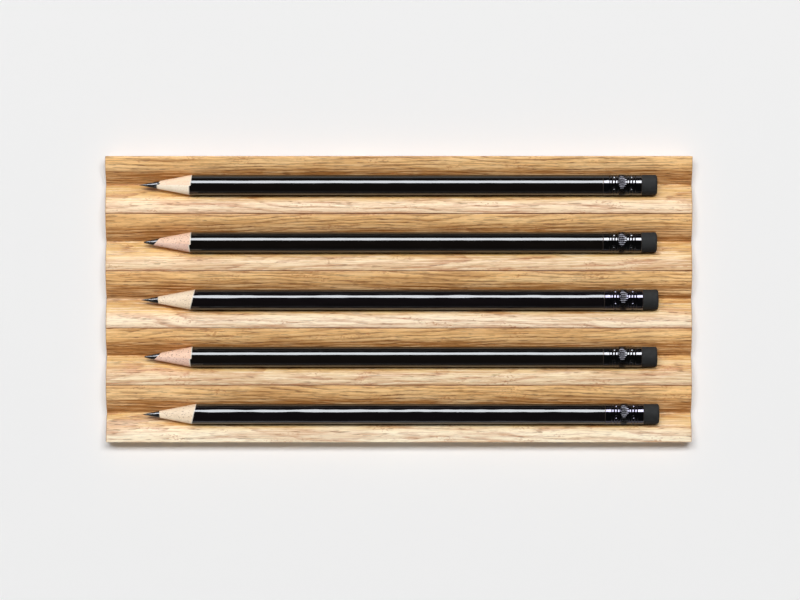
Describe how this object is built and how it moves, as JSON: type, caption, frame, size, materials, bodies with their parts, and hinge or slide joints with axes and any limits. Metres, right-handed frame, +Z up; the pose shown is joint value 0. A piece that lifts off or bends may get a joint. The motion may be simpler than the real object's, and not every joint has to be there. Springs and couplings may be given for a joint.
{
  "type": "pen tray",
  "caption": "Oak desk tray of grooved staves glued edge to edge, with a sharpened black lacquered pencil with black ferrule and eraser lying loose in every groove.",
  "frame": {"origin": "middle of the tray's underside", "axes": "+X along the grooves from the pencils' points to their erasers, +Y to the back, +Z up"},
  "size_m": [0.215, 0.105, 0.0122],
  "materials": {
    "oak": "planed and oiled, open pores",
    "casing_beige": "bare, knife-cut",
    "casing_pink": "bare, knife-cut",
    "graphite": "semi-metallic sheen",
    "lacquer": "high gloss black",
    "ferrule": "glossy black coat",
    "eraser": "matte, slightly dusty"
  },
  "bodies": {
    "tray": {"stave_1": "oak", "stave_2": "oak", "stave_3": "oak", "stave_4": "oak", "stave_5": "oak"},
    "pencil_1": {"pencil_1_lead": "graphite", "pencil_1_casing_upper": "casing_beige", "pencil_1_casing_lower": "casing_beige", "pencil_1_lacquer": "lacquer", "pencil_1_ferrule": "ferrule", "pencil_1_eraser": "eraser"},
    "pencil_2": {"pencil_2_lead": "graphite", "pencil_2_casing_upper": "casing_pink", "pencil_2_casing_lower": "casing_pink", "pencil_2_lacquer": "lacquer", "pencil_2_ferrule": "ferrule", "pencil_2_eraser": "eraser"},
    "pencil_3": {"pencil_3_lead": "graphite", "pencil_3_casing_upper": "casing_beige", "pencil_3_casing_lower": "casing_beige", "pencil_3_lacquer": "lacquer", "pencil_3_ferrule": "ferrule", "pencil_3_eraser": "eraser"},
    "pencil_4": {"pencil_4_lead": "graphite", "pencil_4_casing_upper": "casing_pink", "pencil_4_casing_lower": "casing_pink", "pencil_4_lacquer": "lacquer", "pencil_4_ferrule": "ferrule", "pencil_4_eraser": "eraser"},
    "pencil_5": {"pencil_5_lead": "graphite", "pencil_5_casing_upper": "casing_beige", "pencil_5_casing_lower": "casing_beige", "pencil_5_lacquer": "lacquer", "pencil_5_ferrule": "ferrule", "pencil_5_eraser": "eraser"}
  },
  "joints": [
    {"name": "pencil_1_lift", "type": "slide", "parent": "tray", "child": "pencil_1", "axis": [0, 0, 1], "range_m": [0, 0.06]},
    {"name": "pencil_2_lift", "type": "slide", "parent": "tray", "child": "pencil_2", "axis": [0, 0, 1], "range_m": [0, 0.06]},
    {"name": "pencil_3_lift", "type": "slide", "parent": "tray", "child": "pencil_3", "axis": [0, 0, 1], "range_m": [0, 0.06]},
    {"name": "pencil_4_lift", "type": "slide", "parent": "tray", "child": "pencil_4", "axis": [0, 0, 1], "range_m": [0, 0.06]},
    {"name": "pencil_5_lift", "type": "slide", "parent": "tray", "child": "pencil_5", "axis": [0, 0, 1], "range_m": [0, 0.06]}
  ]
}
